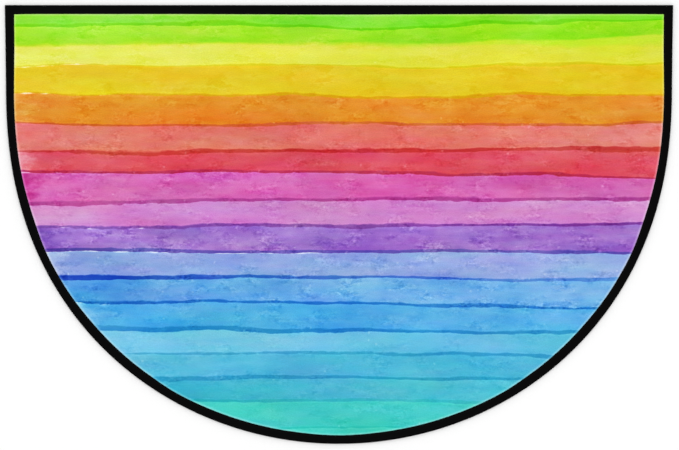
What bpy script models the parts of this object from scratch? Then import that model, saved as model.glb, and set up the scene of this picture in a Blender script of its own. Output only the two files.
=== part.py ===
"""Half-round doormat: a printed pile cloth with a black tape folded over its cut edge.

The mat lies flat with its underside on Z = 0 and its middle on the origin. The straight edge faces
+Y and runs along X, and the round nose points to -Y. Lengths are in metres.
"""

import math
from collections import namedtuple

import bmesh
import bpy
from mathutils import Vector

MAT_WIDTH = 0.914  # along the straight edge, from corner to corner
MAT_DEPTH = 0.600  # from the straight edge to the tip of the nose

# The outline: the flanks run down almost straight, flared a little towards the two square corners,
# and then turn into the nose on a curve that is slightly fuller than an ellipse.
FLANK_HALF_WIDTH = 0.4549
FLARE_DEPTH = 0.232  # the flare dies out this far below the straight edge
FLANK_DEPTH = 0.120  # and the nose's curve starts here
NOSE_FULLNESS = 2.2  # 2 is a plain ellipse

STRAIGHT_EDGE_STEPS = 24
FLANK_STEPS = 6
NOSE_STEPS = 64

CLOTH_HEIGHT = 0.0050  # pile and back together
PINCHED_THICKNESS = 0.0020  # the cloth's edge, squeezed flat inside the tape
TAPE_HEIGHT = 0.0048  # over both legs of the folded tape
TAPE_THICKNESS = 0.0010
SEWN_DIP = 0.0002  # how far the stitches pull the tape's upper inner edge down
SEWN_SHARE = 0.7  # where that dip starts, as a share of the tape's width
CLEARANCE = 0.0003  # between the tape and the cloth
FOLD_STEPS = 6  # facets round the tape's fold

UNDERSIDE_CHAMFER = 0.0006
SHOULDER_RUN = 0.0018  # the pile rounds over beside the tape
SHOULDER_DROP = 0.0008
SHOULDER_CROWN = 0.3  # share of the run and of the drop at the facet between
WELD_DISTANCE = 0.000001
SMOOTH_ANGLE = math.radians(40)

# The tape is folded by hand, so the width that shows wanders along its run.
TapeStation = namedtuple("TapeStation", "run width")
STRAIGHT_EDGE_TAPE = (  # run is from the corner to the middle of the straight edge
    TapeStation(0.000, 0.0125),
    TapeStation(0.060, 0.0122),
    TapeStation(0.230, 0.0123),
    TapeStation(0.457, 0.0130),
)
SIDE_TAPE = (  # run is from the corner down the side and round to the tip of the nose
    TapeStation(0.000, 0.0125),
    TapeStation(0.040, 0.0124),
    TapeStation(0.130, 0.0110),
    TapeStation(0.200, 0.0111),
    TapeStation(0.300, 0.0123),
    TapeStation(0.350, 0.0113),
    TapeStation(0.400, 0.0118),
    TapeStation(0.475, 0.0129),
    TapeStation(0.575, 0.0127),
    TapeStation(0.620, 0.0118),
    TapeStation(0.700, 0.0125),
    TapeStation(0.790, 0.0125),
    TapeStation(0.860, 0.0118),
)

# The painted stripes, from the straight edge to the nose.
Stripe = namedtuple("Stripe", "name height colour")
STRIPES = (
    Stripe("green", 0.0282, "#8fe245"),
    Stripe("lime", 0.0285, "#a2e431"),
    Stripe("pale yellow", 0.0245, "#e4e556"),
    Stripe("golden yellow", 0.0410, "#e7ca27"),
    Stripe("orange", 0.0405, "#e59534"),
    Stripe("salmon", 0.0350, "#e67972"),
    Stripe("rose", 0.0320, "#de535b"),
    Stripe("pink", 0.0360, "#d967b8"),
    Stripe("orchid", 0.0335, "#d38bd1"),
    Stripe("purple", 0.0375, "#a16dcc"),
    Stripe("periwinkle", 0.0350, "#91a8e4"),
    Stripe("sky", 0.0365, "#6fb1e7"),
    Stripe("azure", 0.0370, "#4face5"),
    Stripe("pale aqua", 0.0310, "#6bc4e2"),
    Stripe("aqua", 0.0340, "#53bbdc"),
    Stripe("teal", 0.0345, "#47bad0"),
    Stripe("turquoise", 0.0553, "#44cac3"),
)
TAPE_COLOUR = "#131314"

COLLECTION_NAME = "half_round_doormat"


def clear_scene():
    for obj in list(bpy.data.objects):
        bpy.data.objects.remove(obj, do_unlink=True)


def linear_colour(hex_colour):
    """An sRGB hex colour as linear RGBA."""
    channels = [int(hex_colour[i : i + 2], 16) / 255 for i in (1, 3, 5)]
    linear = [c / 12.92 if c <= 0.04045 else ((c + 0.055) / 1.055) ** 2.4 for c in channels]
    return (*linear, 1.0)


def half_width_at(depth):
    """Half of the mat's width at a depth below the straight edge."""
    flare = (MAT_WIDTH / 2 - FLANK_HALF_WIDTH) * max(0.0, 1 - depth / FLARE_DEPTH) ** 2
    down = max(0.0, depth - FLANK_DEPTH) / (MAT_DEPTH - FLANK_DEPTH)
    return flare + FLANK_HALF_WIDTH * math.sqrt(max(0.0, 1 - down**NOSE_FULLNESS))


def side_points():
    """The right-hand side from its corner to the tip of the nose, as points in the XY plane."""
    depths = [FLANK_DEPTH * step / FLANK_STEPS for step in range(FLANK_STEPS)]
    quarter_steps = NOSE_STEPS // 2
    for step in range(quarter_steps):
        turn = math.sin(math.pi / 2 * step / quarter_steps)
        depths.append(FLANK_DEPTH + (MAT_DEPTH - FLANK_DEPTH) * turn ** (2 / NOSE_FULLNESS))
    points = [Vector((half_width_at(depth), MAT_DEPTH / 2 - depth)) for depth in depths]
    return [*points, Vector((0.0, -MAT_DEPTH / 2))]


def width_at(stations, run):
    """The tape's visible width at a run, read between the stations of its table."""
    for before, after in zip(stations, stations[1:]):
        if run <= after.run:
            share = (run - before.run) / (after.run - before.run)
            return before.width + (after.width - before.width) * share
    return stations[-1].width


def outline_with_widths():
    """The closed outline anticlockwise from the right-hand corner, and the tape's width at each point."""
    points, widths = [], []
    half = MAT_WIDTH / 2
    for step in range(STRAIGHT_EDGE_STEPS):
        x = half - MAT_WIDTH * step / STRAIGHT_EDGE_STEPS
        points.append(Vector((x, MAT_DEPTH / 2)))
        widths.append(width_at(STRAIGHT_EDGE_TAPE, half - abs(x)))
    right_side = side_points()
    side_widths, run = [], 0.0
    for before, point in zip([right_side[0], *right_side], right_side):
        run += (point - before).length
        side_widths.append(width_at(SIDE_TAPE, run))
    points += [Vector((-p.x, p.y)) for p in right_side]
    widths += side_widths
    points += right_side[-2:0:-1]
    widths += side_widths[-2:0:-1]
    return points, widths


def inward_steps(points):
    """For each outline point the move that insets it by one metre, mitred where two edges meet."""
    steps = []
    for i, point in enumerate(points):
        before = (point - points[i - 1]).normalized()
        after = (points[(i + 1) % len(points)] - point).normalized()
        normals = Vector((-before.y, before.x)), Vector((-after.y, after.x))
        steps.append((normals[0] + normals[1]) / (1 + normals[0].dot(normals[1])))
    return steps


def half_circle(radius, centre_height, direction):
    """Inset and height of the points round a fold: upwards for direction 1 and downwards for -1."""
    centre_inset = TAPE_HEIGHT / 2
    stations = []
    for step in range(FOLD_STEPS + 1):
        angle = direction * (math.pi * step / FOLD_STEPS - math.pi / 2)
        stations.append((centre_inset - radius * math.cos(angle), centre_height + radius * math.sin(angle)))
    return stations


def cloth_section(width):
    """The cloth's edge from its underside round to its upper face, where the tape shows this width."""
    step_inset = width + CLEARANCE
    low = TAPE_THICKNESS + CLEARANCE
    high = low + PINCHED_THICKNESS
    shoulder = CLOTH_HEIGHT - SHOULDER_DROP
    return [
        (step_inset + UNDERSIDE_CHAMFER, 0.0),
        (step_inset, UNDERSIDE_CHAMFER),
        (step_inset, low),
        *half_circle(PINCHED_THICKNESS / 2, (low + high) / 2, 1),
        (step_inset, high),
        (step_inset, shoulder),
        (step_inset + SHOULDER_RUN * SHOULDER_CROWN, CLOTH_HEIGHT - SHOULDER_DROP * SHOULDER_CROWN),
        (step_inset + SHOULDER_RUN, CLOTH_HEIGHT),
    ]


def tape_section(width):
    """The folded tape's section: out round the fold, over the top leg and back along its inner face."""
    middle = TAPE_HEIGHT / 2
    inner_top = TAPE_HEIGHT - TAPE_THICKNESS
    return [
        (width, 0.0),
        *half_circle(middle, middle, 1),
        (width * SEWN_SHARE, TAPE_HEIGHT),
        (width, TAPE_HEIGHT - SEWN_DIP),
        (width, inner_top - SEWN_DIP),
        (width * SEWN_SHARE, inner_top),
        *half_circle(middle - TAPE_THICKNESS, middle, -1),
        (width, TAPE_THICKNESS),
    ]


def swept_mesh(name, section_at, closed_section):
    """A loop of edges extruded section by section round the outline, which keeps the corners mitred."""
    points, widths = outline_with_widths()
    steps = inward_steps(points)
    sections = [section_at(width) for width in widths]
    mesh = bmesh.new()
    outline_index = mesh.verts.layers.int.new("outline_index")

    def settle(verts, station):
        for vert in verts:
            index = vert[outline_index]
            inset, height = sections[index][station]
            vert.co = (*(points[index] + steps[index] * inset), height)

    first = [mesh.verts.new() for _ in points]
    for index, vert in enumerate(first):
        vert[outline_index] = index
    settle(first, 0)
    ring = [mesh.edges.new((first[i - 1], first[i])) for i in range(len(first))]
    if not closed_section:
        bmesh.ops.contextual_create(mesh, geom=ring)
    for station in [*range(1, len(sections[0])), *([0] if closed_section else [])]:
        made = bmesh.ops.extrude_edge_only(mesh, edges=ring)["geom"]
        settle([part for part in made if isinstance(part, bmesh.types.BMVert)], station)
        ring = [part for part in made if isinstance(part, bmesh.types.BMEdge)]
    if closed_section:
        bmesh.ops.remove_doubles(mesh, verts=mesh.verts, dist=WELD_DISTANCE)
    else:
        bmesh.ops.contextual_create(mesh, geom=ring)
    bmesh.ops.recalc_face_normals(mesh, faces=mesh.faces)
    mesh.verts.layers.int.remove(outline_index)
    data = bpy.data.meshes.new(name)
    mesh.to_mesh(data)
    mesh.free()
    return data


def plain_material(name, roughness):
    """A new material, and its shader node to set further."""
    material = bpy.data.materials.new(name)
    material.use_nodes = True
    shader = material.node_tree.nodes["Principled BSDF"]
    shader.inputs["Roughness"].default_value = roughness
    shader.inputs["Metallic"].default_value = 0.0
    return material, shader


def printed_pile_material():
    """Matt polyester pile, with the stripes as flat bands down the mat's depth."""
    material, shader = plain_material("printed_polyester_pile", 0.95)
    nodes, links = material.node_tree.nodes, material.node_tree.links
    place = nodes.new("ShaderNodeTexCoord")
    split = nodes.new("ShaderNodeSeparateXYZ")
    depth = nodes.new("ShaderNodeMapRange")
    bands = nodes.new("ShaderNodeValToRGB")
    depth.inputs["From Min"].default_value = MAT_DEPTH / 2
    depth.inputs["From Max"].default_value = -MAT_DEPTH / 2
    bands.color_ramp.interpolation = "CONSTANT"
    start = 0.0
    for index, stripe in enumerate(STRIPES):
        elements = bands.color_ramp.elements
        element = elements[0] if index == 0 else elements.new(start / MAT_DEPTH)
        element.color = linear_colour(stripe.colour)
        start += stripe.height
    bands.color_ramp.elements.remove(bands.color_ramp.elements[-1])
    links.new(place.outputs["Object"], split.inputs["Vector"])
    links.new(split.outputs["Y"], depth.inputs["Value"])
    links.new(depth.outputs["Result"], bands.inputs["Fac"])
    links.new(bands.outputs["Color"], shader.inputs["Base Color"])
    return material


def tape_material():
    """Black woven polyester tape, a little smoother than the pile."""
    material, shader = plain_material("black_polyester_tape", 0.7)
    shader.inputs["Base Color"].default_value = linear_colour(TAPE_COLOUR)
    return material


def add_piece(collection, name, section_at, closed_section, material):
    data = swept_mesh(name, section_at, closed_section)
    data.materials.append(material)
    data.shade_smooth()
    data.set_sharp_from_angle(angle=SMOOTH_ANGLE)
    piece = bpy.data.objects.new(name, data)
    collection.objects.link(piece)
    return piece


def build_doormat():
    clear_scene()
    collection = bpy.data.collections.new(COLLECTION_NAME)
    bpy.context.scene.collection.children.link(collection)
    add_piece(collection, "mat_cloth", cloth_section, False, printed_pile_material())
    add_piece(collection, "edge_binding", tape_section, True, tape_material())


build_doormat()
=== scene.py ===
import math
import random
from collections import namedtuple

import bmesh
import bpy
from mathutils import Matrix, Vector, noise


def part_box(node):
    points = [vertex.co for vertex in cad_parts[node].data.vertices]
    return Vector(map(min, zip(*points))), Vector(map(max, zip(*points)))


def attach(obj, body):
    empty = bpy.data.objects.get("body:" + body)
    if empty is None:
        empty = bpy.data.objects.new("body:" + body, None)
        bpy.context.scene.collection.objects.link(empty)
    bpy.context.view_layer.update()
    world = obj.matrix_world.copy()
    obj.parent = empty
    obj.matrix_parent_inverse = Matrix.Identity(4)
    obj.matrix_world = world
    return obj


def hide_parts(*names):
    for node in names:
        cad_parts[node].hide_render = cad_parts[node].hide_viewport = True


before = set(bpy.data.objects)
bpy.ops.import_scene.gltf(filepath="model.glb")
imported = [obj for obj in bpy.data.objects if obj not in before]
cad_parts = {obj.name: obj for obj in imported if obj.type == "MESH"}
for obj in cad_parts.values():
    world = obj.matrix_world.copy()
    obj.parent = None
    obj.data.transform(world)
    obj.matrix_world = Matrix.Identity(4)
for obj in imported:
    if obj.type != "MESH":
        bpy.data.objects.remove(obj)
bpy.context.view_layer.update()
scene = bpy.context.scene

# The printed cloth.
# A short cut pile of polyester on a thin non-slip back, cut to a half-round. Its cut edge is squeezed
# flat where the tape grips it, and the pile swells up beside the tape.
tape_low, tape_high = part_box("edge_binding")
cloth_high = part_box("mat_cloth")[1]
STRAIGHT_EDGE_Y = tape_high.y
HALF_WIDTH = tape_high.x
MAT_DEPTH = tape_high.y - tape_low.y
# The flanks draw in a little below the square corners, and run on into a round nose. A fullness of 2
# would make it an ellipse. The half width, both depths and the fullness are a script's fit to the edge in
# the photo, rounded.
FLANK_HALF_WIDTH = 0.4549
FLARE_DEPTH = 0.232
FLANK_DEPTH = 0.120
NOSE_FULLNESS = 2.2
SIDE_CURVE_STEPS = 4000
# Beside a square corner, points move in aslant as the mitre does, and straight again this far from it.
MITRE_EASE = 0.030

# How wide the tape shows, in metres, along the straight edge from its corner to its middle, and from the
# corner down the side and round to the tip of the nose. The cloth rises from under it there. From 60 mm
# along the straight edge and 130 mm down the side on, the widths are what a script measured in the photo,
# less up to 0.4 mm.
TapeStation = namedtuple("TapeStation", "run width")
STRAIGHT_EDGE_TAPE = (
    TapeStation(0.000, 0.0125),
    TapeStation(0.060, 0.0122),
    TapeStation(0.230, 0.0123),
    TapeStation(0.457, 0.0130),
)
SIDE_TAPE = (
    TapeStation(0.000, 0.0125),
    TapeStation(0.040, 0.0124),
    TapeStation(0.130, 0.0110),
    TapeStation(0.200, 0.0111),
    TapeStation(0.300, 0.0123),
    TapeStation(0.350, 0.0113),
    TapeStation(0.400, 0.0118),
    TapeStation(0.475, 0.0129),
    TapeStation(0.575, 0.0127),
    TapeStation(0.620, 0.0118),
    TapeStation(0.700, 0.0125),
    TapeStation(0.790, 0.0125),
    TapeStation(0.860, 0.0118),
)


def half_width_at(depth):
    """Half of the mat's width at a depth below the straight edge."""
    flare = (HALF_WIDTH - FLANK_HALF_WIDTH) * max(0.0, 1 - depth / FLARE_DEPTH) ** 2
    down = min(1.0, max(0.0, depth - FLANK_DEPTH) / (MAT_DEPTH - FLANK_DEPTH))
    return flare + FLANK_HALF_WIDTH * math.sqrt(1 - down**NOSE_FULLNESS)


def width_at(stations, run):
    """The tape's visible width at a run from the corner, eased between the stations of its table."""
    for before, after in zip(stations, stations[1:]):
        if run <= after.run:
            share = (run - before.run) / (after.run - before.run)
            return before.width + (after.width - before.width) * share * share * (3 - 2 * share)
    return stations[-1].width


OutlinePoint = namedtuple("OutlinePoint", "index place along inward run tape_width")


def walk_outline(spacing):
    """Points about spacing apart round the mat, anticlockwise from the right-hand corner."""
    side, run = [], [0.0]
    for step in range(SIDE_CURVE_STEPS + 1):
        depth = MAT_DEPTH * math.sin(math.pi / 2 * step / SIDE_CURVE_STEPS)
        side.append(Vector((half_width_at(depth), STRAIGHT_EDGE_Y - depth)))
        if step:
            run.append(run[-1] + (side[-1] - side[-2]).length)
    side_steps = round(run[-1] / spacing)
    even, at = [], 0
    for step in range(side_steps + 1):
        target = run[-1] * step / side_steps
        while at < SIDE_CURVE_STEPS - 1 and run[at + 1] < target:
            at += 1
        share = min(1.0, (target - run[at]) / (run[at + 1] - run[at]))
        even.append((side[at].lerp(side[at + 1], share), width_at(SIDE_TAPE, target)))
    edge_steps = 2 * round(HALF_WIDTH / spacing)
    walk = []
    for step in range(edge_steps):
        x = HALF_WIDTH * (1 - 2 * step / edge_steps)
        tape_width = width_at(STRAIGHT_EDGE_TAPE, HALF_WIDTH - abs(x))
        walk.append((Vector((x, STRAIGHT_EDGE_Y)), tape_width))
    walk += [(Vector((-place.x, place.y)), width) for place, width in even]
    walk += even[-2:0:-1]
    alongs, normals = [], []
    for (place, _), (after, _) in zip(walk, walk[1:] + walk[:1]):
        along = (after - place).normalized()
        alongs.append(along)
        normals.append(Vector((-along.y, along.x)))
    inward = [(a + b) / (1 + a.dot(b)) for a, b in zip(normals[-1:] + normals[:-1], normals)]
    reach = round(MITRE_EASE / spacing)
    for corner in (0, edge_steps):
        for way, edge_normal in ((1, normals[corner]), (-1, normals[corner - 1])):
            skew = inward[corner] - edge_normal
            for step in range(1, reach):
                index = (corner + way * step) % len(walk)
                inward[index] = inward[index] + skew * (1 - step / reach)
    points, travelled = [], 0.0
    for index, (place, tape_width) in enumerate(walk):
        if index:
            travelled += (place - walk[index - 1][0]).length
        points.append(OutlinePoint(index, place, alongs[index], inward[index], travelled, tape_width))
    return points


def sweep(mesh, points, section_at, closed):
    """Extrudes a ring of edges through the section's stations and returns its first and last ring."""
    outline_index = mesh.verts.layers.int.new("outline_index")
    station_index = mesh.verts.layers.int.new("station_index")
    sections = [section_at(point) for point in points]

    def settle(verts, station):
        for vert in verts:
            point = points[vert[outline_index]]
            inset, height = sections[point.index][station % len(sections[0])]
            vert.co = (*(point.place + point.inward * inset), height)
            vert[station_index] = station

    ring = bmesh.ops.create_circle(mesh, segments=len(points), radius=HALF_WIDTH)["verts"]
    for index, vert in enumerate(ring):
        vert[outline_index] = index
    settle(ring, 0)
    rings = [list(mesh.edges)]
    for station in range(1, len(sections[0]) + closed):
        made = bmesh.ops.extrude_edge_only(mesh, edges=rings[-1])["geom"]
        settle([part for part in made if isinstance(part, bmesh.types.BMVert)], station)
        edges = [part for part in made if isinstance(part, bmesh.types.BMEdge)]
        rings.append([e for e in edges if e.verts[0][station_index] == e.verts[1][station_index]])
    return rings[0], rings[-1]


TAPE_THICKNESS = 0.0010
FOLD_RADIUS = tape_high.z / 2
PILE_HEIGHT = cloth_high.z
PIECE_GAP = 0.0003
SQUEEZED_THICKNESS = 0.0020
SQUEEZED_LOW = TAPE_THICKNESS + PIECE_GAP
SQUEEZED_HIGH = SQUEEZED_LOW + SQUEEZED_THICKNESS
BACK_BEVEL = 0.0006
CLOTH_SPACING = 0.0024
TUFT_WAVER = 0.0003
PILE_WAVER = 0.00012
PILE_WAVER_SIZES = (0.009, 0.0036)
# The pile's rise beside the tape: how far in each station lies and how far down from the top, as shares
# of the shoulder's run and drop.
SHOULDER = ((0.00, 1.00), (0.06, 0.50), (0.20, 0.18), (0.50, 0.03), (1.00, 0.00))
SHOULDER_RUN = 0.0035
SHOULDER_DROP = 0.0013


def cloth_section(point):
    """The cloth's edge from its underside round to its upper face, as (inset, height) pairs."""
    step = point.tape_width + PIECE_GAP
    under = [(step + BACK_BEVEL, 0.0), (step, BACK_BEVEL), (step, SQUEEZED_LOW)]
    squeezed = []
    for degrees in (-90, -45, 0, 45, 90):
        angle = math.radians(degrees)
        half = (SQUEEZED_HIGH - SQUEEZED_LOW) / 2
        height = SQUEEZED_LOW + half + half * math.sin(angle)
        squeezed.append((FOLD_RADIUS - half * math.cos(angle), height))
    tuft = TUFT_WAVER * noise.noise(Vector((point.run / CLOTH_SPACING, 0.5, 0)))
    shoulder = []
    for run, drop in SHOULDER:
        inset = point.tape_width + tuft * (1 - run) + run * SHOULDER_RUN
        shoulder.append((inset, PILE_HEIGHT - drop * SHOULDER_DROP))
    return [*under, *squeezed, (step, SQUEEZED_HIGH), *shoulder]


cloth_points = walk_outline(CLOTH_SPACING)
cloth_mesh = bmesh.new()
back_ring, pile_ring = sweep(cloth_mesh, cloth_points, cloth_section, closed=False)
back = bmesh.ops.contextual_create(cloth_mesh, geom=back_ring)["faces"]

# Beside the tape the pile leans over and parts, so the undyed roots of its fibres show a little.
bare_roots = cloth_mesh.verts.layers.float.new("bare_roots")
station_index = cloth_mesh.verts.layers.int["station_index"]
shoulder_start = len(cloth_section(cloth_points[0])) - len(SHOULDER)
for vert in cloth_mesh.verts:
    beside = max(0, vert[station_index] - shoulder_start)
    vert[bare_roots] = 1 - SHOULDER[beside][0]

# The upper face is a grid of quads between two equal stretches of its rim: the straight edge and the
# nose. It swells a little here and there.
outline_index = cloth_mesh.verts.layers.int["outline_index"]
edge_steps = 2 * round(HALF_WIDTH / CLOTH_SPACING)
nose_tip = edge_steps + (len(cloth_points) - edge_steps) // 2
rails = []
for first, last in ((0, edge_steps), (nose_tip - edge_steps // 2, nose_tip + edge_steps // 2)):
    rails += [e for e in pile_ring if all(first <= v[outline_index] <= last for v in e.verts)]
pile = bmesh.ops.grid_fill(cloth_mesh, edges=rails, use_smooth=True, use_interp_simple=True)["faces"]
for vert in {v for face in pile for v in face.verts}:
    broad, fine = [noise.noise(vert.co / size) for size in PILE_WAVER_SIZES]
    vert.co.z += PILE_WAVER * (broad + fine / 2)
bmesh.ops.recalc_face_normals(cloth_mesh, faces=cloth_mesh.faces)
for face in back:
    face.material_index = 1


def finished_piece(name, mesh, materials, sharp_angle=40):
    """Turns a bmesh into an object at the origin, shaded smooth but for its sharp edges."""
    for layer in list(mesh.verts.layers.int.values()):
        mesh.verts.layers.int.remove(layer)
    data = bpy.data.meshes.new(name)
    mesh.to_mesh(data)
    mesh.free()
    data.shade_smooth()
    data.set_sharp_from_angle(angle=math.radians(sharp_angle))
    for material in materials:
        data.materials.append(material)
    piece = bpy.data.objects.new(name, data)
    scene.collection.objects.link(piece)
    return piece


def linear_colour(hex_colour):
    """An sRGB hex colour as linear red, green and blue."""
    parts = [int(hex_colour[i : i + 2], 16) / 255 for i in (1, 3, 5)]
    return [part / 12.92 if part <= 0.04045 else ((part + 0.055) / 1.055) ** 2.4 for part in parts]


# Sockets go by name or number. Those of a Mix node share their names, so its two numbers are 2 and 3 and
# its two colours 6 and 7.
def add_node(tree, kind, sockets=None, **settings):
    """Adds a node, makes its settings, and fills its sockets with values or with what feeds them."""
    node = tree.nodes.new(kind)
    for setting, value in settings.items():
        setattr(node, setting, value)
    for socket, value in (sockets or {}).items():
        if isinstance(value, bpy.types.Node):
            value = value.outputs[0]
        if isinstance(value, bpy.types.NodeSocket):
            tree.links.new(value, node.inputs[socket])
        else:
            node.inputs[socket].default_value = value
    return node


def new_material(name):
    """An empty node material with its shader wired to the output, as (material, node tree, shader)."""
    material = bpy.data.materials.new(name)
    material.use_nodes = True
    tree = material.node_tree
    tree.nodes.clear()
    shader = add_node(tree, "ShaderNodeBsdfPrincipled")
    add_node(tree, "ShaderNodeOutputMaterial", {"Surface": shader})
    return material, tree, shader


# The print.
# Dye printed into white polyester pile: nineteen painted washes laid one below the other, each lapping
# a little over the next. Where two lap, both colours take light away, which makes the dark line there;
# where a brush ran short, the white pile shows between them.
Wash = namedtuple(
    "Wash", "name colour foot line load cloudy sway grey start dry", defaults=(0.78, 0.0, None)
)
Line = namedtuple("Line", "lap own next grey", defaults=((1.0, 1.0, 1.0), 0.0, 0.0))
# Wherever three values stand together, they hold at the wash's left end, in its middle and at its right
# end, and lengths are in millimetres. foot: how far below the straight edge the wash ends. load: how much
# paint the brush held. cloudy and sway: how much the paint varies and how much the foot wanders, with 1
# as usual. grey: how much grey each small mark adds. start: how much more paint it left, or less, where
# it first touched down at the left end. dry: how thick a sliver the next brush left bare just under the
# line, with none where it is negative.
# Of the line at a wash's foot, lap says how thick it is, own and next how much paint of this wash and of
# the next one is in it, and grey how much grey. Two washes that ran together while wet have no line.
# Most of the colours are the mean that a script took of the wash in the photo. The feet, the loads and the
# lines follow what scripts measured or fitted there, rounded and then corrected against renders. The rest
# was set by comparing renders with the photo, in part by scripts as well.
RAN_TOGETHER = Line((6.0, 6.0, 6.0))
WASHES = (
    Wash(
        "green", "#89e437", foot=(29, 25, 24), load=(0.90, 0.99, 1.10),
        line=Line(lap=(3.9, 3.9, 4.2), own=(0.78, 0.78, 0.72), next=0.60, grey=0.09),
        cloudy=0.75, sway=1.8, grey=0.1,
    ),
    Wash(
        "lime", "#9fe626", foot=(46.8, 51.3, 38.6), load=(0.79, 0.98, 1.13),
        line=RAN_TOGETHER,
        cloudy=0.8, sway=1.2, grey=0.1,
    ),
    Wash(
        "yellow green", "#cdea38", foot=(49.2, 54.6, 51.0), load=(1.0, 1.0, 1.0),
        line=RAN_TOGETHER,
        cloudy=0.6, sway=1.0, grey=0.1,
    ),
    Wash(
        "pale yellow", "#e5e74e", foot=(86, 81, 82), load=(0.67, 1.0, 1.28),
        line=Line(lap=(0.8, 2.4, 2.4), own=(1.0, 1.0, 1.0), next=0.38, grey=0.06),
        cloudy=0.66, sway=1.2, grey=0.1, dry=(1.2, -2, -2),
    ),
    Wash(
        "golden yellow", "#e7ca25", foot=(120, 123.5, 122.5), load=(0.93, 1.0, 1.05),
        line=Line(lap=(0.6, 2.6, 2.6), own=(0.95, 0.95, 0.95), next=0.35, grey=0.06),
        cloudy=0.64, sway=0.8, grey=0.0, dry=(1.0, -4, -4),
    ),
    Wash(
        "orange", "#e6912b", foot=(160.5, 163.6, 160.5), load=(1.0, 1.0, 0.98),
        line=Line(lap=(2.8, 3.8, 3.1), own=(0.64, 0.46, 0.60), next=0.72, grey=0.16),
        cloudy=0.82, sway=0.8, grey=0.25, start=-0.2,
    ),
    Wash(
        "salmon", "#e57c70", foot=(200, 199, 196.8), load=(0.98, 1.08, 0.86),
        line=Line(lap=(2.4, 4.5, 5.4), own=(0.8, 0.95, 1.0), next=0.62, grey=0.15),
        cloudy=0.68, sway=0.9, start=-0.1,
    ),
    Wash(
        "rose", "#de5362", foot=(228.5, 228, 237), load=(1.0, 1.05, 0.95),
        line=Line(lap=(3.4, 3.5, 2.9), own=(0.76, 0.76, 0.80), next=0.60, grey=0.28),
        cloudy=0.66, sway=0.9, start=-0.5, dry=(2.0, -12, -12),
    ),
    Wash(
        "pink", "#d865b5", foot=(272.2, 266.7, 265.3), load=(0.9, 1.0, 1.08),
        line=Line(lap=(5.8, 3.5, 5.8), own=(0.70, 0.88, 1.0), next=0.64, grey=0.25),
        cloudy=0.84, sway=0.8, start=0.85,
    ),
    Wash(
        "orchid", "#d389ce", foot=(303.2, 302, 298), load=(0.92, 1.04, 0.95),
        line=Line(lap=(2.8, 3.7, 4.4), own=(0.30, 0.64, 0.96), next=0.92, grey=0.28),
        cloudy=0.70, sway=0.8, dry=(-0.2, -2, -3),
    ),
    Wash(
        "purple", "#a071cc", foot=(335.2, 339.2, 335.5), load=(0.98, 0.97, 1.02),
        line=Line(lap=(4.4, 5.5, 2.5), own=(1.04, 0.76, 0.82), next=0.86, grey=0.24),
        cloudy=1.1, sway=1.0, grey=0.85, start=0.35, dry=(1.0, 0.0, -2.5),
    ),
    Wash(
        "periwinkle", "#8fa9e4", foot=(373, 372, 377), load=(1.02, 1.0, 0.9),
        line=Line(lap=(7.4, 4.4, 3.4), own=(2.3, 1.3, 0.90), next=0.80, grey=0.04),
        cloudy=0.78, sway=0.8, grey=0.9, start=-0.3,
    ),
    Wash(
        "sky", "#67aee8", foot=(404.8, 407.6, 415), load=(1.25, 0.96, 0.92),
        line=Line(lap=(2.4, 3.9, 2.6), own=(0.95, 1.04, 0.84), next=0.84, grey=0.19),
        cloudy=0.98, sway=0.9, dry=(0.6, -4, -4),
    ),
    Wash(
        "azure", "#52afe7", foot=(441, 443.5, 448), load=(1.03, 1.02, 0.86),
        line=Line(lap=(9.8, 3.9, 4.6), own=(0.88, 1.04, 0.90), next=0.60, grey=0.20),
        cloudy=0.68, sway=0.8, start=-0.3,
    ),
    Wash(
        "pale aqua", "#6bc4e6", foot=(475.8, 477.2, 482), load=(0.88, 1.0, 1.16),
        line=Line(lap=(1.8, 3.0, 3.9), own=(0.95, 0.97, 1.0), next=0.45, grey=0.15),
        cloudy=0.38, sway=0.8,
    ),
    Wash(
        "aqua", "#53badc", foot=(513, 508.3, 514), load=(0.84, 1.05, 1.01),
        line=Line(lap=(7.8, 5.4, 4.0), own=(0.85, 0.9, 0.80), next=0.46, grey=0.14),
        cloudy=0.52, sway=0.7,
    ),
    Wash(
        "teal", "#47bbd2", foot=(541, 541, 545), load=(1.08, 1.0, 0.86),
        line=Line(lap=(4.4, 3.8, 3.8), own=(0.86, 0.68, 0.74), next=0.48, grey=0.07),
        cloudy=0.54, sway=0.6,
    ),
    Wash(
        "turquoise", "#47cfc8", foot=(576, 578, 576), load=(0.95, 1.03, 1.0),
        line=Line(lap=(2.4, 2.4, 2.4), own=(0.9, 0.9, 0.9), next=0.3, grey=0.04),
        cloudy=0.47, sway=0.6,
    ),
    Wash(
        "sea green", "#43d0c0", foot=(640, 640, 640), load=(1.0, 0.95, 1.0),
        line=Line(lap=(0.0, 0.0, 0.0)),
        cloudy=0.47, sway=1.0,
    ),
)
WHITE_PILE = "#eeeeee"
# The first wash starts well above the mat. In millimetres, a wash's head fades in over 2 and its foot
# fades out over about 1, or over nearly 6 where two washes ran together.
PRINT_START = -40.0
SOFT_HEAD = {"From Min": -1.0, "From Max": 1.0}
SOFT_FOOT = {"From Min": -0.55, "From Max": 0.55}
MELTING_FOOT = {"From Min": -2.8, "From Max": 2.8}
# Where a brush skipped, this share of its paint still caught in the pile.
SKIPPED_LEFT = 0.3
# A brush touched down this far in from the mat's side, as wide as that is half a wash above its foot.
# What it left more or less there evens out over the reach, and a waver makes that end uneven.
START_INSET = 0.012
START_REACH = 0.030
START_WAVER = 0.06
HALF_WASH_HEIGHT = 0.018
# The lowest washes are read over the width that the mat has here, as the nose soon narrows to nothing.
LOWEST_READ = 0.9 * MAT_DEPTH


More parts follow.
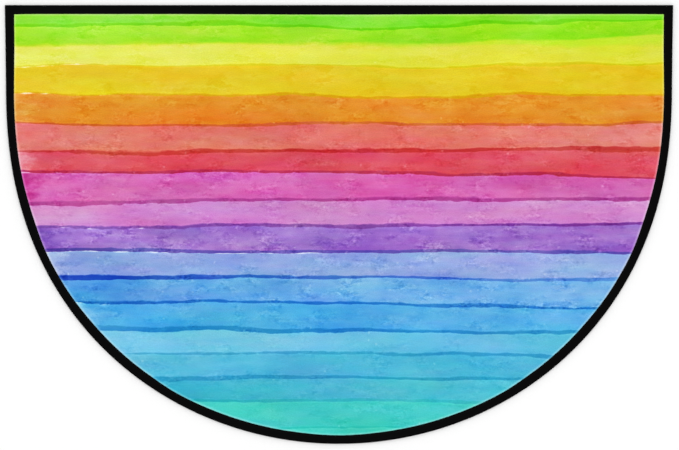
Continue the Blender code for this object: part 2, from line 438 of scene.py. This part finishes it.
def bowed_line(stations, depth):
    """(lean, bow, middle) of the bowed line through the values at the left end, middle and right end."""
    left, middle, right = stations
    reach = half_width_at(min(depth / 1000, LOWEST_READ)) / HALF_WIDTH
    return Vector(((right - left) / 2 / reach, ((right + left) / 2 - middle) / reach**2, middle))


printed_pile, tree, shader = new_material("dye_printed_polyester_pile")
place = add_node(tree, "ShaderNodeTexCoord").outputs["Object"]
across = add_node(tree, "ShaderNodeSeparateXYZ", {0: place})
from_middle = add_node(
    tree, "ShaderNodeMath", {0: across.outputs["X"], 1: 1 / HALF_WIDTH}, operation="MULTIPLY"
)
squared = add_node(tree, "ShaderNodeMath", {0: from_middle, 1: 2.0}, operation="POWER")
below_edge = add_node(
    tree,
    "ShaderNodeMath",
    {0: across.outputs["Y"], 1: -1000.0, 2: 1000 * STRAIGHT_EDGE_Y},
    operation="MULTIPLY_ADD",
)

# Each paint effect is a cloud of its own: how long and how tall it is in millimetres, its number of
# finer layers, and a place in the noise that sets it apart from the others.
Cloud = namedtuple("Cloud", "long tall layers apart")
CLOUDS = {
    "hand sway": Cloud(190.0, 26.0, 1.0, 3.1),
    "hand tremble": Cloud(42.0, 13.0, 4.0, 11.7),
    "ragged lap": Cloud(22.0, 9.0, 4.0, 23.9),
    "wet pools": Cloud(120.0, 34.0, 2.0, 37.3),
    "blooms": Cloud(26.0, 12.0, 4.0, 41.9),
    "dried patches": Cloud(25.0, 9.0, 3.0, 59.3),
    "bristle streaks": Cloud(44.0, 2.8, 3.0, 53.1),
    "mottles": Cloud(9.0, 5.0, 2.0, 83.3),
    "paint grain": Cloud(3.8, 2.7, 1.0, 67.7),
    "damp places": Cloud(36.0, 20.0, 2.0, 97.1),
}
CLOUD_ROUGHNESS = 0.55
NOISE_MIDDLE = 0.5
cloud = {}
for name, size in CLOUDS.items():
    stretched = add_node(
        tree,
        "ShaderNodeMapping",
        {
            "Vector": place,
            "Location": (size.apart, size.apart, 0.0),
            "Scale": (1000 / size.long, 1000 / size.tall, 1.0),
        },
    )
    mist = add_node(
        tree,
        "ShaderNodeTexNoise",
        {"Vector": stretched, "Scale": 1.0, "Detail": size.layers, "Roughness": CLOUD_ROUGHNESS},
        noise_dimensions="2D",
    )
    cloud[name] = add_node(tree, "ShaderNodeMath", {0: mist, 1: NOISE_MIDDLE}, operation="SUBTRACT")
# A patch dries with a crisp edge, so this cloud is cut to two levels.
PATCH_EDGE = 0.025
PATCH_LEVEL = 0.5
cloud["dried patches"] = add_node(
    tree,
    "ShaderNodeMapRange",
    {
        "Value": cloud["dried patches"],
        "From Min": -PATCH_EDGE,
        "From Max": PATCH_EDGE,
        "To Min": -PATCH_LEVEL,
        "To Max": PATCH_LEVEL,
    },
    interpolation_type="SMOOTHSTEP",
)

# The small marks gather where the cloth was damp, and hardly show between. The paint settles in them
# more than it thins, so they lean to the dark side. The dampness runs from dry to wet, and the strength
# of the marks follows it.
DRY, WET = -0.08, 0.20
MARKS_IN_DRY, MARKS_IN_WET = 0.15, 2.6
SETTLING_MARKS = ("dried patches", "mottles", "paint grain")
gathered = add_node(
    tree,
    "ShaderNodeMapRange",
    {
        "Value": cloud["damp places"],
        "From Min": DRY,
        "From Max": WET,
        "To Min": MARKS_IN_DRY,
        "To Max": MARKS_IN_WET,
    },
)
for name in SETTLING_MARKS:
    settled = add_node(
        tree, "ShaderNodeMath", {0: cloud[name], 1: cloud[name], 2: cloud[name]}, operation="MULTIPLY_ADD"
    )
    cloud[name] = add_node(tree, "ShaderNodeMath", {0: settled, 1: gathered}, operation="MULTIPLY")

# How far each cloud pushes a wash's edge, in millimetres for a full swing of the noise.
EDGE_PUSH = {"hand sway": 13.5, "hand tremble": 2.8}
wandering = below_edge
for name, push in EDGE_PUSH.items():
    wandering = add_node(
        tree, "ShaderNodeMath", {0: cloud[name], 1: push, 2: wandering}, operation="MULTIPLY_ADD"
    )
# Each wash's head and foot are ragged the opposite way, so the laps between them are uneven.
RAGGED_LAP = 3.8
along_wash = {}
for edge, ragged in (("foot", RAGGED_LAP), ("head", -RAGGED_LAP)):
    depth = add_node(
        tree, "ShaderNodeMath", {0: cloud["ragged lap"], 1: ragged, 2: wandering}, operation="MULTIPLY_ADD"
    )
    along_wash[edge] = add_node(tree, "ShaderNodeCombineXYZ", {0: from_middle, 1: squared, 2: depth})
along_wash["load"] = add_node(tree, "ShaderNodeCombineXYZ", {0: from_middle, 1: squared, 2: 1.0})

# How much each cloud thickens the paint, for a full swing of the noise. The finest ones also dry grey.
PAINT_SWELL = {
    "wet pools": 0.67,
    "blooms": 0.34,
    "dried patches": 0.11,
    "bristle streaks": 0.08,
    "mottles": 0.17,
    "paint grain": 0.17,
}
GREY_MARKS = ("bristle streaks", "mottles", "paint grain")
swelling, marks = 0.0, 0.0
for name, swell in PAINT_SWELL.items():
    swelling = add_node(
        tree, "ShaderNodeMath", {0: cloud[name], 1: swell, 2: swelling}, operation="MULTIPLY_ADD"
    )
    if name in GREY_MARKS:
        marks = add_node(
            tree, "ShaderNodeMath", {0: cloud[name], 1: swell, 2: marks}, operation="MULTIPLY_ADD"
        )
ragged_start = add_node(
    tree,
    "ShaderNodeMath",
    {0: cloud["blooms"], 1: START_WAVER, 2: across.outputs["X"]},
    operation="MULTIPLY_ADD",
)


def level_below(edge, line, sway):
    """How far below a wash's bowed edge each point lies, in millimetres."""
    level = add_node(
        tree,
        "ShaderNodeVectorMath",
        {0: along_wash[edge], 1: (-line.x, -line.y, 1.0)},
        operation="DOT_PRODUCT",
    ).outputs["Value"]
    push = EDGE_PUSH["hand sway"] * (sway - 1)
    pushed = add_node(
        tree, "ShaderNodeMath", {0: cloud["hand sway"], 1: push, 2: level}, operation="MULTIPLY_ADD"
    )
    return add_node(tree, "ShaderNodeMath", {0: pushed, 1: line.z}, operation="SUBTRACT")


# The dye wicks into each line between two washes, which dirties the line and leaves the pile a shade
# paler on both sides of it.
WICKED_REACH = 3.2
WICKED_PALENESS = 0.06
# While a wash is wet, some of its paint runs down towards its foot: of this swing in its thickness, a
# third is lost above and the rest is gained at the foot.
RUN_DOWN_REACH = 15.0
RUN_DOWN = 0.07
LOST_ABOVE = 1 / 3

taken_away, wicked, dirtied, greyed = (0.0, 0.0, 0.0), 0.0, 0.0, 0.0
head_level = level_below("head", Vector((0.0, 0.0, PRINT_START)), 1)
head = add_node(
    tree, "ShaderNodeMapRange", {"Value": head_level, **SOFT_HEAD}, interpolation_type="SMOOTHSTEP"
)
over_last = 1.0
for wash in WASHES:
    middle = wash.foot[1]
    edge, lap = bowed_line(wash.foot, middle), bowed_line(wash.line.lap, middle)
    foot_level = level_below("foot", edge + lap / 2, wash.sway)
    softness = MELTING_FOOT if wash.line is RAN_TOGETHER else SOFT_FOOT
    foot = add_node(
        tree,
        "ShaderNodeMapRange",
        {"Value": foot_level, **softness, "To Min": 1.0, "To Max": 0.0},
        interpolation_type="SMOOTHSTEP",
    )
    covered = add_node(tree, "ShaderNodeMath", {0: head, 1: foot}, operation="MULTIPLY")
    covered = add_node(tree, "ShaderNodeMath", {0: covered, 1: over_last}, operation="MULTIPLY")
    greyed = add_node(
        tree, "ShaderNodeMath", {0: covered, 1: wash.grey * wash.cloudy, 2: greyed}, operation="MULTIPLY_ADD"
    )
    load = add_node(
        tree,
        "ShaderNodeVectorMath",
        {0: along_wash["load"], 1: bowed_line(wash.load, middle)},
        operation="DOT_PRODUCT",
    ).outputs["Value"]
    if wash.start:
        left_end = START_INSET - half_width_at(middle / 1000 - HALF_WASH_HEIGHT)
        touched_down = add_node(
            tree,
            "ShaderNodeMapRange",
            {
                "Value": ragged_start,
                "From Min": left_end,
                "From Max": left_end + START_REACH,
                "To Min": wash.start,
                "To Max": 0.0,
            },
            interpolation_type="SMOOTHSTEP",
        )
        load = add_node(tree, "ShaderNodeMath", {0: load, 1: touched_down}, operation="ADD")
    run_down = add_node(
        tree,
        "ShaderNodeMapRange",
        {
            "Value": foot_level,
            "From Min": -RUN_DOWN_REACH,
            "From Max": 0.0,
            "To Min": -RUN_DOWN * LOST_ABOVE,
            "To Max": RUN_DOWN * (1 - LOST_ABOVE),
        },
    )
    load = add_node(tree, "ShaderNodeMath", {0: load, 1: run_down}, operation="ADD")
    thickness = add_node(
        tree, "ShaderNodeMath", {0: swelling, 1: wash.cloudy, 2: load}, operation="MULTIPLY_ADD"
    )
    paint = add_node(tree, "ShaderNodeMath", {0: covered, 1: thickness}, operation="MULTIPLY")

    # The line at its foot, where the next wash lies over it.
    head_level = level_below("head", edge - lap / 2, wash.sway)
    head = add_node(
        tree, "ShaderNodeMapRange", {"Value": head_level, **SOFT_HEAD}, interpolation_type="SMOOTHSTEP"
    )
    own = add_node(
        tree,
        "ShaderNodeVectorMath",
        {0: along_wash["load"], 1: bowed_line(wash.line.own, middle) - Vector((0, 0, 1))},
        operation="DOT_PRODUCT",
    ).outputs["Value"]
    own = add_node(tree, "ShaderNodeMath", {0: head, 1: own, 2: 1.0}, operation="MULTIPLY_ADD")
    paint = add_node(tree, "ShaderNodeMath", {0: paint, 1: own}, operation="MULTIPLY")
    density = [-math.log(part) for part in linear_colour(wash.colour)]
    taken_away = add_node(
        tree, "ShaderNodeVectorMath", {0: paint, 1: density, 2: taken_away}, operation="MULTIPLY_ADD"
    )
    in_line = add_node(tree, "ShaderNodeMath", {0: head, 1: foot}, operation="MULTIPLY")
    dirtied = add_node(
        tree, "ShaderNodeMath", {0: in_line, 1: wash.line.grey, 2: dirtied}, operation="MULTIPLY_ADD"
    )
    over_last = add_node(
        tree, "ShaderNodeMath", {0: foot, 1: wash.line.next - 1, 2: 1.0}, operation="MULTIPLY_ADD"
    )
    if wash.dry:
        skipped = add_node(
            tree,
            "ShaderNodeMapRange",
            {
                "Value": level_below("head", edge + lap / 2 + bowed_line(wash.dry, middle), wash.sway),
                **SOFT_FOOT,
                "To Min": 1 - SKIPPED_LEFT,
                "To Max": 0.0,
            },
            interpolation_type="SMOOTHSTEP",
        )
        above_line = add_node(tree, "ShaderNodeMath", {0: over_last, 1: foot}, operation="MULTIPLY")
        over_last = add_node(
            tree, "ShaderNodeMix", {0: skipped, 2: over_last, 3: above_line}, data_type="FLOAT"
        )
    if wash.line.next:
        beside = add_node(tree, "ShaderNodeMath", {0: foot_level, 1: head_level}, operation="ADD")
        beside = add_node(tree, "ShaderNodeMath", {0: beside}, operation="ABSOLUTE")
        beside = add_node(
            tree,
            "ShaderNodeMapRange",
            {
                "Value": beside,
                "From Min": wash.line.lap[1],
                "From Max": wash.line.lap[1] + 2 * WICKED_REACH,
                "To Min": 1.0,
                "To Max": 0.0,
            },
            interpolation_type="SMOOTHSTEP",
        )
        wicked = add_node(tree, "ShaderNodeMath", {0: wicked, 1: beside}, operation="ADD")

# Each wash takes up a little of its neighbours and of the rinsing water, so its tint drifts: every
# colour's share of the light taken away varies by itself, and the small marks dry greyer.
# Its patches are this long and tall, in millimetres.
TINT_LONG = 150.0
TINT_TALL = 34.0
TINT_LAYERS = 5.0
TINT_ROUGHNESS = 0.62
TINT_DRIFT = 0.46
TINT_STRAY = 0.18
stretched = add_node(
    tree, "ShaderNodeMapping", {"Vector": place, "Scale": (1000 / TINT_LONG, 1000 / TINT_TALL, 1.0)}
)
tint = add_node(
    tree,
    "ShaderNodeTexNoise",
    {"Vector": stretched, "Scale": 1.0, "Detail": TINT_LAYERS, "Roughness": TINT_ROUGHNESS},
    noise_dimensions="2D",
)
tint = add_node(
    tree, "ShaderNodeVectorMath", {0: tint.outputs["Color"], 1: (NOISE_MIDDLE,) * 3}, operation="SUBTRACT"
)
drift = add_node(
    tree,
    "ShaderNodeVectorMath",
    {0: tint, 1: (TINT_DRIFT,) * 3, 2: (1.0, 1.0, 1.0)},
    operation="MULTIPLY_ADD",
)
stray = add_node(tree, "ShaderNodeMath", {0: marks, 1: greyed}, operation="MULTIPLY")
stray = add_node(tree, "ShaderNodeMath", {0: wicked, 1: -WICKED_PALENESS, 2: stray}, operation="MULTIPLY_ADD")
stray = add_node(tree, "ShaderNodeMath", {0: stray, 1: dirtied}, operation="ADD")
stray = add_node(
    tree, "ShaderNodeVectorMath", {0: tint, 1: (TINT_STRAY,) * 3, 2: stray}, operation="MULTIPLY_ADD"
)
taken_away = add_node(
    tree, "ShaderNodeVectorMath", {0: taken_away, 1: drift, 2: stray}, operation="MULTIPLY_ADD"
)

# Here and there, and mostly in the damp places, a drop of clean water pushed the paint aside and left
# a pale speck. The washes whose marks dry grey have the most. A speck's radius, where it is palest and
# where it ends, is a share of the spacing.
SPECK_SPACING = 0.010
SPECK_RADIUS = (0.05, 0.25)
SPECK_SHARE = 0.052
SPECK_PALENESS = 0.27
SPECK_PUSH = (0.006, 0.006, 0.0)
pushed_aside = add_node(
    tree, "ShaderNodeVectorMath", {0: cloud["blooms"], 1: SPECK_PUSH, 2: place}, operation="MULTIPLY_ADD"
)
drops = add_node(
    tree,
    "ShaderNodeTexVoronoi",
    {"Vector": pushed_aside, "Scale": 1 / SPECK_SPACING},
    voronoi_dimensions="2D",
)
drop_kind = add_node(tree, "ShaderNodeSeparateColor", {0: drops.outputs["Color"]})
drop_share = add_node(tree, "ShaderNodeMath", {0: gathered, 1: SPECK_SHARE}, operation="MULTIPLY")
drop_share = add_node(tree, "ShaderNodeMath", {0: drop_share, 1: greyed}, operation="MULTIPLY")
is_wet = add_node(tree, "ShaderNodeMath", {0: drop_kind, 1: drop_share}, operation="LESS_THAN")
speck = add_node(
    tree,
    "ShaderNodeMapRange",
    {
        "Value": drops.outputs["Distance"],
        "From Min": SPECK_RADIUS[0],
        "From Max": SPECK_RADIUS[1],
        "To Min": -SPECK_PALENESS,
        "To Max": 0.0,
    },
    interpolation_type="SMOOTHSTEP",
)
paint_left = add_node(tree, "ShaderNodeMath", {0: speck, 1: is_wet, 2: 1.0}, operation="MULTIPLY_ADD")

# The bare roots beside the tape took less dye.
ROOT_PALENESS = 0.60
roots = add_node(tree, "ShaderNodeAttribute", attribute_name="bare_roots")
dye_taken = add_node(
    tree, "ShaderNodeMath", {0: roots.outputs["Fac"], 1: ROOT_PALENESS, 2: -1.0}, operation="MULTIPLY_ADD"
)
strength = add_node(tree, "ShaderNodeMath", {0: paint_left, 1: dye_taken}, operation="MULTIPLY")
dyed = add_node(tree, "ShaderNodeVectorMath", {0: taken_away, "Scale": strength}, operation="SCALE")
light_left = add_node(tree, "ShaderNodeVectorMath", {0: (math.e, math.e, math.e), 1: dyed}, operation="POWER")
on_pile = add_node(
    tree, "ShaderNodeVectorMath", {0: light_left, 1: linear_colour(WHITE_PILE)}, operation="MULTIPLY"
)

# The pile is cut short and brushed: close up the eye sees its tips with gaps between, and softer tracks where
# the pile lies over, both given as relief. Its colour is also painted lighter on the tips and darker in the
# gaps, as painted light and shade.
# Most of the noise for the tips lies within its two values.
TIP_SIZE = 0.0010
TIP_RELIEF = 0.0005
TIP_PAINTED_LIGHT_AND_SHADE = (0.84, 1.16)
TIP_NOISE = (0.3, 0.7)
TRACK_SIZE = 0.007
TRACK_RELIEF = 0.00030
tips = add_node(tree, "ShaderNodeTexNoise", {"Vector": place, "Scale": 1 / TIP_SIZE, "Detail": 3.0})
# Painted light and shade: the pile's colour is scaled lighter on the tips and darker in the gaps between
# them.
painted_tip_light_and_shade = add_node(
    tree,
    "ShaderNodeMapRange",
    {
        "Value": tips,
        "From Min": TIP_NOISE[0],
        "From Max": TIP_NOISE[1],
        "To Min": TIP_PAINTED_LIGHT_AND_SHADE[0],
        "To Max": TIP_PAINTED_LIGHT_AND_SHADE[1],
    },
)
with_painted_tip_light = add_node(tree, "ShaderNodeVectorMath", {0: on_pile, "Scale": painted_tip_light_and_shade}, operation="SCALE")
tree.links.new(with_painted_tip_light.outputs[0], shader.inputs["Base Color"])
tracks = add_node(tree, "ShaderNodeTexNoise", {"Vector": place, "Scale": 1 / TRACK_SIZE, "Detail": 2.0})
tip_relief = add_node(tree, "ShaderNodeBump", {"Strength": 0.5, "Distance": TIP_RELIEF, "Height": tips})
relief = add_node(
    tree,
    "ShaderNodeBump",
    {"Strength": 0.5, "Distance": TRACK_RELIEF, "Height": tracks, "Normal": tip_relief},
)
tree.links.new(relief.outputs[0], shader.inputs["Normal"])
shader.inputs["Roughness"].default_value = 0.95
shader.inputs["Specular IOR Level"].default_value = 0.05

# The back.
# A thin coat of black latex spread on the cloth's underside, so that the mat doesn't slide. It is matt
# and finely pebbled.
BACK_COLOUR = "#2b2b2c"
PEBBLE_SIZE = 0.0022
PEBBLE_RELIEF = 0.0004
latex_back, tree, shader = new_material("pebbled_latex_back")
place = add_node(tree, "ShaderNodeTexCoord").outputs["Object"]
pebbles = add_node(tree, "ShaderNodeTexVoronoi", {"Vector": place, "Scale": 1 / PEBBLE_SIZE})
relief = add_node(
    tree, "ShaderNodeBump", {"Strength": 0.6, "Distance": PEBBLE_RELIEF, "Height": pebbles}, invert=True
)
tree.links.new(relief.outputs[0], shader.inputs["Normal"])
shader.inputs["Base Color"].default_value = (*linear_colour(BACK_COLOUR), 1.0)
shader.inputs["Roughness"].default_value = 0.8

printed_mat = finished_piece("printed_mat", cloth_mesh, [printed_pile, latex_back])
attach(printed_mat, "root")
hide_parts("mat_cloth")

# The pile's rim.
# The outermost tufts aren't held down by the sewing: they lean out over the tape's inner edge and hide
# the joint between pile and tape.
RIM_SPACING = 0.0008
RIM_INSET = 0.0014
RIM_ROOT_DEPTH = 0.0012
RIM_SCATTER = 0.3 * RIM_SPACING
RIM_SEED = 11
RIM_BARENESS = 0.8
TUFT_LENGTH = 0.0017
TUFT_LENGTH_SHARES = (0.8, 1.1)
TUFT_RADIUS = 0.00042
TUFT_TIP_RADIUS = 0.3 * TUFT_RADIUS
TUFT_SIDES = 4
TUFT_LEAN = 1.1
TUFT_SPREAD = 0.35


def add_copies(mesh, shape, placings):
    """Adds a copy of a small shape to a bmesh for each placing, and frees the shape."""
    data = bpy.data.meshes.new("copied_shape")
    shape.to_mesh(data)
    shape.free()
    unplaced = [0.0] * (3 * len(data.vertices))
    data.vertices.foreach_get("co", unplaced)
    for placing in placings:
        data.vertices.foreach_set("co", unplaced)
        data.transform(placing)
        mesh.from_mesh(data)
    bpy.data.meshes.remove(data)


tuft = bmesh.new()
bmesh.ops.create_cone(
    tuft,
    cap_ends=True,
    segments=TUFT_SIDES,
    radius1=TUFT_RADIUS,
    radius2=TUFT_TIP_RADIUS,
    depth=TUFT_LENGTH,
    matrix=Matrix.Translation((0, 0, TUFT_LENGTH / 2)),
)
bare_roots = tuft.verts.layers.float.new("bare_roots")
for vert in tuft.verts:
    vert[bare_roots] = RIM_BARENESS
scatter = random.Random(RIM_SEED)
placings = []
for point in walk_outline(RIM_SPACING):
    root_inset = point.tape_width + RIM_INSET + scatter.uniform(-RIM_SCATTER, RIM_SCATTER)
    root = Vector((*(point.place + point.inward * root_inset), PILE_HEIGHT - RIM_ROOT_DEPTH))
    sideways = scatter.uniform(-TUFT_SPREAD, TUFT_SPREAD)
    lean = Vector((*(point.along * sideways - point.inward.normalized() * TUFT_LEAN), 1.0))
    length = scatter.uniform(*TUFT_LENGTH_SHARES)
    placings.append(Matrix.LocRotScale(root, lean.to_track_quat("Z", "Y"), Vector((1, 1, length))))
rim_mesh = bmesh.new()
add_copies(rim_mesh, tuft, placings)
pile_rim = finished_piece("pile_rim", rim_mesh, [printed_pile])
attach(pile_rim, "root")

# The edge binding.
# One black woven polyester tape, folded over the cut edge all the way round, mitred at the two square
# corners and sewn down near its inner edge, where the thread pulls it in at every stitch.
TAPE_SPACING = 0.0010
TAPE_HEIGHT = tape_high.z
STITCH_INSET = 0.0022
STITCH_STEPS = 4
# How deep a stitch pulls the tape in, the share of it that is left between two stitches, and the share
# that reaches half-way up the groove's sides.
STITCH_PULL = 0.00028
PULL_BETWEEN = 0.2
PULL_BESIDE = 0.7
GROOVE_HALF_WIDTH = 0.0012
UNDER_GROOVE = 0.0004
LIP_DROP = 0.0002
FOLD_STEPS = 8
JOIN_DISTANCE = 0.000001
# At each square corner the tape is folded over itself, and the upper side of the fold stands higher by
# this step, which runs out along the edge.
MITRE_STEP = 0.00025
MITRE_STEP_RUN = 0.014
CORNER_RUNS = (0.0, 2 * HALF_WIDTH)

tape_points = walk_outline(TAPE_SPACING)


def tape_section(point):
    """The folded tape's section: along its top, round the fold, back underneath and in again."""
    stitch_row = point.tape_width - STITCH_INSET
    swing = (1 - PULL_BETWEEN) / 2
    pull = STITCH_PULL * (1 - swing + swing * math.cos(2 * math.pi * point.index / STITCH_STEPS))
    lift = 0.0
    for corner_run in CORNER_RUNS:
        if 0 <= point.run - corner_run < MITRE_STEP_RUN:
            lift = MITRE_STEP * (1 - (point.run - corner_run) / MITRE_STEP_RUN)
    top = TAPE_HEIGHT + lift
    outer, inner = [], []
    for step in range(FOLD_STEPS + 1):
        angle = math.pi * (0.5 - step / FOLD_STEPS)
        rise = FOLD_RADIUS + lift * (1 - step / FOLD_STEPS)
        for radius, arc in ((FOLD_RADIUS, outer), (FOLD_RADIUS - TAPE_THICKNESS, inner)):
            arc.append((FOLD_RADIUS - radius * math.cos(angle), rise + radius * math.sin(angle)))
    return [
        (point.tape_width, top - LIP_DROP),
        (stitch_row + GROOVE_HALF_WIDTH, top - LIP_DROP / 2),
        (stitch_row + GROOVE_HALF_WIDTH / 2, top - PULL_BESIDE * pull),
        (stitch_row, top - pull),
        (stitch_row - GROOVE_HALF_WIDTH / 2, top - PULL_BESIDE * pull),
        (stitch_row - GROOVE_HALF_WIDTH, top),
        *outer,
        (stitch_row - GROOVE_HALF_WIDTH, 0.0),
        (stitch_row - GROOVE_HALF_WIDTH / 2, UNDER_GROOVE),
        (stitch_row + GROOVE_HALF_WIDTH / 2, UNDER_GROOVE),
        (stitch_row + GROOVE_HALF_WIDTH, 0.0),
        (point.tape_width, 0.0),
        (point.tape_width, TAPE_THICKNESS),
        *reversed(inner),
        (stitch_row, top - TAPE_THICKNESS - pull),
        (point.tape_width, top - TAPE_THICKNESS - LIP_DROP),
    ]


tape_mesh = bmesh.new()
sweep(tape_mesh, tape_points, tape_section, closed=True)

# The weave follows the tape, so the mesh carries how far along it and how far round its section each
# point lies, in metres.
girths = [0.0]
section = [Vector(pair) for pair in tape_section(tape_points[len(tape_points) // 2])]
for before, after in zip(section, section[1:] + section[:1]):
    girths.append(girths[-1] + (after - before).length)
whole_run = tape_points[-1].run + (tape_points[0].place - tape_points[-1].place).length
outline_index = tape_mesh.verts.layers.int["outline_index"]
station_index = tape_mesh.verts.layers.int["station_index"]
on_tape = tape_mesh.loops.layers.uv.new("on_tape")
for face in tape_mesh.faces:
    crosses_join = len(tape_points) - 1 in {vert[outline_index] for vert in face.verts}
    for loop in face.loops:
        run = tape_points[loop.vert[outline_index]].run
        if crosses_join and loop.vert[outline_index] == 0:
            run = whole_run
        loop[on_tape].uv = (run, girths[loop.vert[station_index]])
bmesh.ops.remove_doubles(tape_mesh, verts=tape_mesh.verts, dist=JOIN_DISTANCE)
bmesh.ops.recalc_face_normals(tape_mesh, faces=tape_mesh.faces)

# Plain-woven polyester: fine ribs of weft run across the tape, and the warp cuts them into beads. The
# real ribs are about 0.5 mm apart, and are drawn a little coarser here so that they show close up.
# Besides their relief, the beads of the one black yarn are painted lighter on their crests and darker in
# the valleys between them, as painted highlight and painted shade.
TAPE_SHADED_AND_LIT_COLOURS = ("#040404", "#0a0a0b")
RIB_PITCH = 0.0009
WARP_PITCH = 0.0007
WARP_SHARE = 0.4
WEAVE_RELIEF = 0.00012
tape_weave, tree, shader = new_material("woven_polyester_tape")
along_and_round = add_node(
    tree, "ShaderNodeSeparateXYZ", {0: add_node(tree, "ShaderNodeUVMap", uv_map="on_tape")}
)
waves = []
for axis, pitch in (("X", RIB_PITCH), ("Y", WARP_PITCH)):
    turn = add_node(
        tree,
        "ShaderNodeMath",
        {0: along_and_round.outputs[axis], 1: 2 * math.pi / pitch},
        operation="MULTIPLY",
    )
    waves.append(add_node(tree, "ShaderNodeMath", {0: turn}, operation="SINE"))
beads = add_node(tree, "ShaderNodeMath", {0: waves[1], 1: WARP_SHARE, 2: waves[0]}, operation="MULTIPLY_ADD")
crest = add_node(
    tree, "ShaderNodeMapRange", {"Value": beads, "From Min": -1 - WARP_SHARE, "From Max": 1 + WARP_SHARE}
)
# Painted shade and highlight: one black yarn, darker in the valleys and lighter on the crests.
shaded_valley_colour, lit_crest_colour = [(*linear_colour(colour), 1.0) for colour in TAPE_SHADED_AND_LIT_COLOURS]
yarn_with_painted_light = add_node(
    tree, "ShaderNodeMix", {"Factor": crest, 6: shaded_valley_colour, 7: lit_crest_colour}, data_type="RGBA"
)
tree.links.new(yarn_with_painted_light.outputs[2], shader.inputs["Base Color"])
relief = add_node(tree, "ShaderNodeBump", {"Strength": 0.8, "Distance": WEAVE_RELIEF, "Height": crest})
tree.links.new(relief.outputs[0], shader.inputs["Normal"])
shader.inputs["Roughness"].default_value = 0.8
shader.inputs["Specular IOR Level"].default_value = 0.02

folded_tape = finished_piece("folded_tape", tape_mesh, [tape_weave])
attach(folded_tape, "root")
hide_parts("edge_binding")

# The sewing.
# A lockstitch in black polyester thread holds both layers of the tape to the cloth. It shows on top as
# a row of short stitches sunk in the tape, and underneath as a second row.
STITCH_LENGTH = 0.0033
STITCH_WIDTH = 0.00055
STITCH_HEIGHT = 0.00042
STITCH_RISE = 0.3 * STITCH_HEIGHT
STITCH_SIDES = 6
STITCH_RINGS = 4
THREAD_COLOUR = "#0b0b0c"
TWIST_PITCH = 0.0005
TWIST_RELIEF = 0.0001
stitch = bmesh.new()
bmesh.ops.create_uvsphere(stitch, u_segments=STITCH_SIDES, v_segments=STITCH_RINGS, radius=0.5)
# The lower stitches lie flattened in their groove, so that none sticks out below the mat.
placings = []
for height in (TAPE_HEIGHT - STITCH_PULL + STITCH_RISE, UNDER_GROOVE / 2):
    for point in tape_points[STITCH_STEPS // 2 :: STITCH_STEPS]:
        middle = point.place + point.inward * (point.tape_width - STITCH_INSET)
        along = Vector((*point.along, 0)).to_track_quat("X", "Z")
        size = Vector((STITCH_LENGTH, STITCH_WIDTH, min(STITCH_HEIGHT, 2 * height)))
        placings.append(Matrix.LocRotScale(Vector((*middle, height)), along, size))
sewing_mesh = bmesh.new()
add_copies(sewing_mesh, stitch, placings)

# Filament polyester twisted from plies: a shade lighter than the tape, and it gleams a little more. The
# plies show only close up.
thread, tree, shader = new_material("twisted_polyester_thread")
place = add_node(tree, "ShaderNodeTexCoord").outputs["Object"]
plies = add_node(tree, "ShaderNodeTexNoise", {"Vector": place, "Scale": 1 / TWIST_PITCH, "Detail": 1.0})
relief = add_node(tree, "ShaderNodeBump", {"Strength": 0.5, "Distance": TWIST_RELIEF, "Height": plies})
tree.links.new(relief.outputs[0], shader.inputs["Normal"])
shader.inputs["Base Color"].default_value = (*linear_colour(THREAD_COLOUR), 1.0)
shader.inputs["Roughness"].default_value = 0.6
shader.inputs["Specular IOR Level"].default_value = 0.06

tape_stitches = finished_piece("tape_stitches", sewing_mesh, [thread])
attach(tape_stitches, "root")

# The floor.
# A plain pale floor that runs far past the mat.
FLOOR_SIZE = 30.0
FLOOR_COLOUR = "#f1f1f1"
floor_mesh = bmesh.new()
bmesh.ops.create_grid(floor_mesh, x_segments=1, y_segments=1, size=FLOOR_SIZE / 2)
pale_floor, tree, shader = new_material("matt_white_floor")
shader.inputs["Base Color"].default_value = (*linear_colour(FLOOR_COLOUR), 1.0)
shader.inputs["Roughness"].default_value = 0.9
shader.inputs["Specular IOR Level"].default_value = 0.1
floor = finished_piece("floor", floor_mesh, [pale_floor])

# The light.
# A white room and one wide softbox overhead, a little to the back.
ROOM_BRIGHTNESS = 0.95
SOFTBOX_SIZE = 3.0
SOFTBOX_POWER = 29.0
SOFTBOX_PLACE = Vector((0.15, 0.3, 3.3))
scene.view_settings.view_transform = "Standard"
scene.world = bpy.data.worlds.new("white_room")
scene.world.use_nodes = True
room = scene.world.node_tree.nodes["Background"]
room.inputs["Color"].default_value = (1.0, 1.0, 1.0, 1.0)
room.inputs["Strength"].default_value = ROOM_BRIGHTNESS
softbox = bpy.data.objects.new("softbox", bpy.data.lights.new("softbox", "AREA"))
softbox.data.size = SOFTBOX_SIZE
softbox.data.energy = SOFTBOX_POWER
softbox.location = SOFTBOX_PLACE
softbox.rotation_euler = SOFTBOX_PLACE.to_track_quat("Z", "Y").to_euler()
scene.collection.objects.link(softbox)

# The camera.
# A long lens straight above the middle of the mat, with the straight edge at the top of the picture.
LENS = 0.200
SENSOR_WIDTH = 0.036
PICTURE_WIDTH = 0.9281
PICTURE_MIDDLE = Vector((0.0007, -0.0007))
camera = bpy.data.objects.new("camera", bpy.data.cameras.new("camera"))
camera.data.lens = 1000 * LENS
camera.data.sensor_width = 1000 * SENSOR_WIDTH
camera.data.clip_end = 2 * FLOOR_SIZE
camera.location = (*PICTURE_MIDDLE, PILE_HEIGHT + PICTURE_WIDTH * LENS / SENSOR_WIDTH)
scene.collection.objects.link(camera)
scene.camera = camera
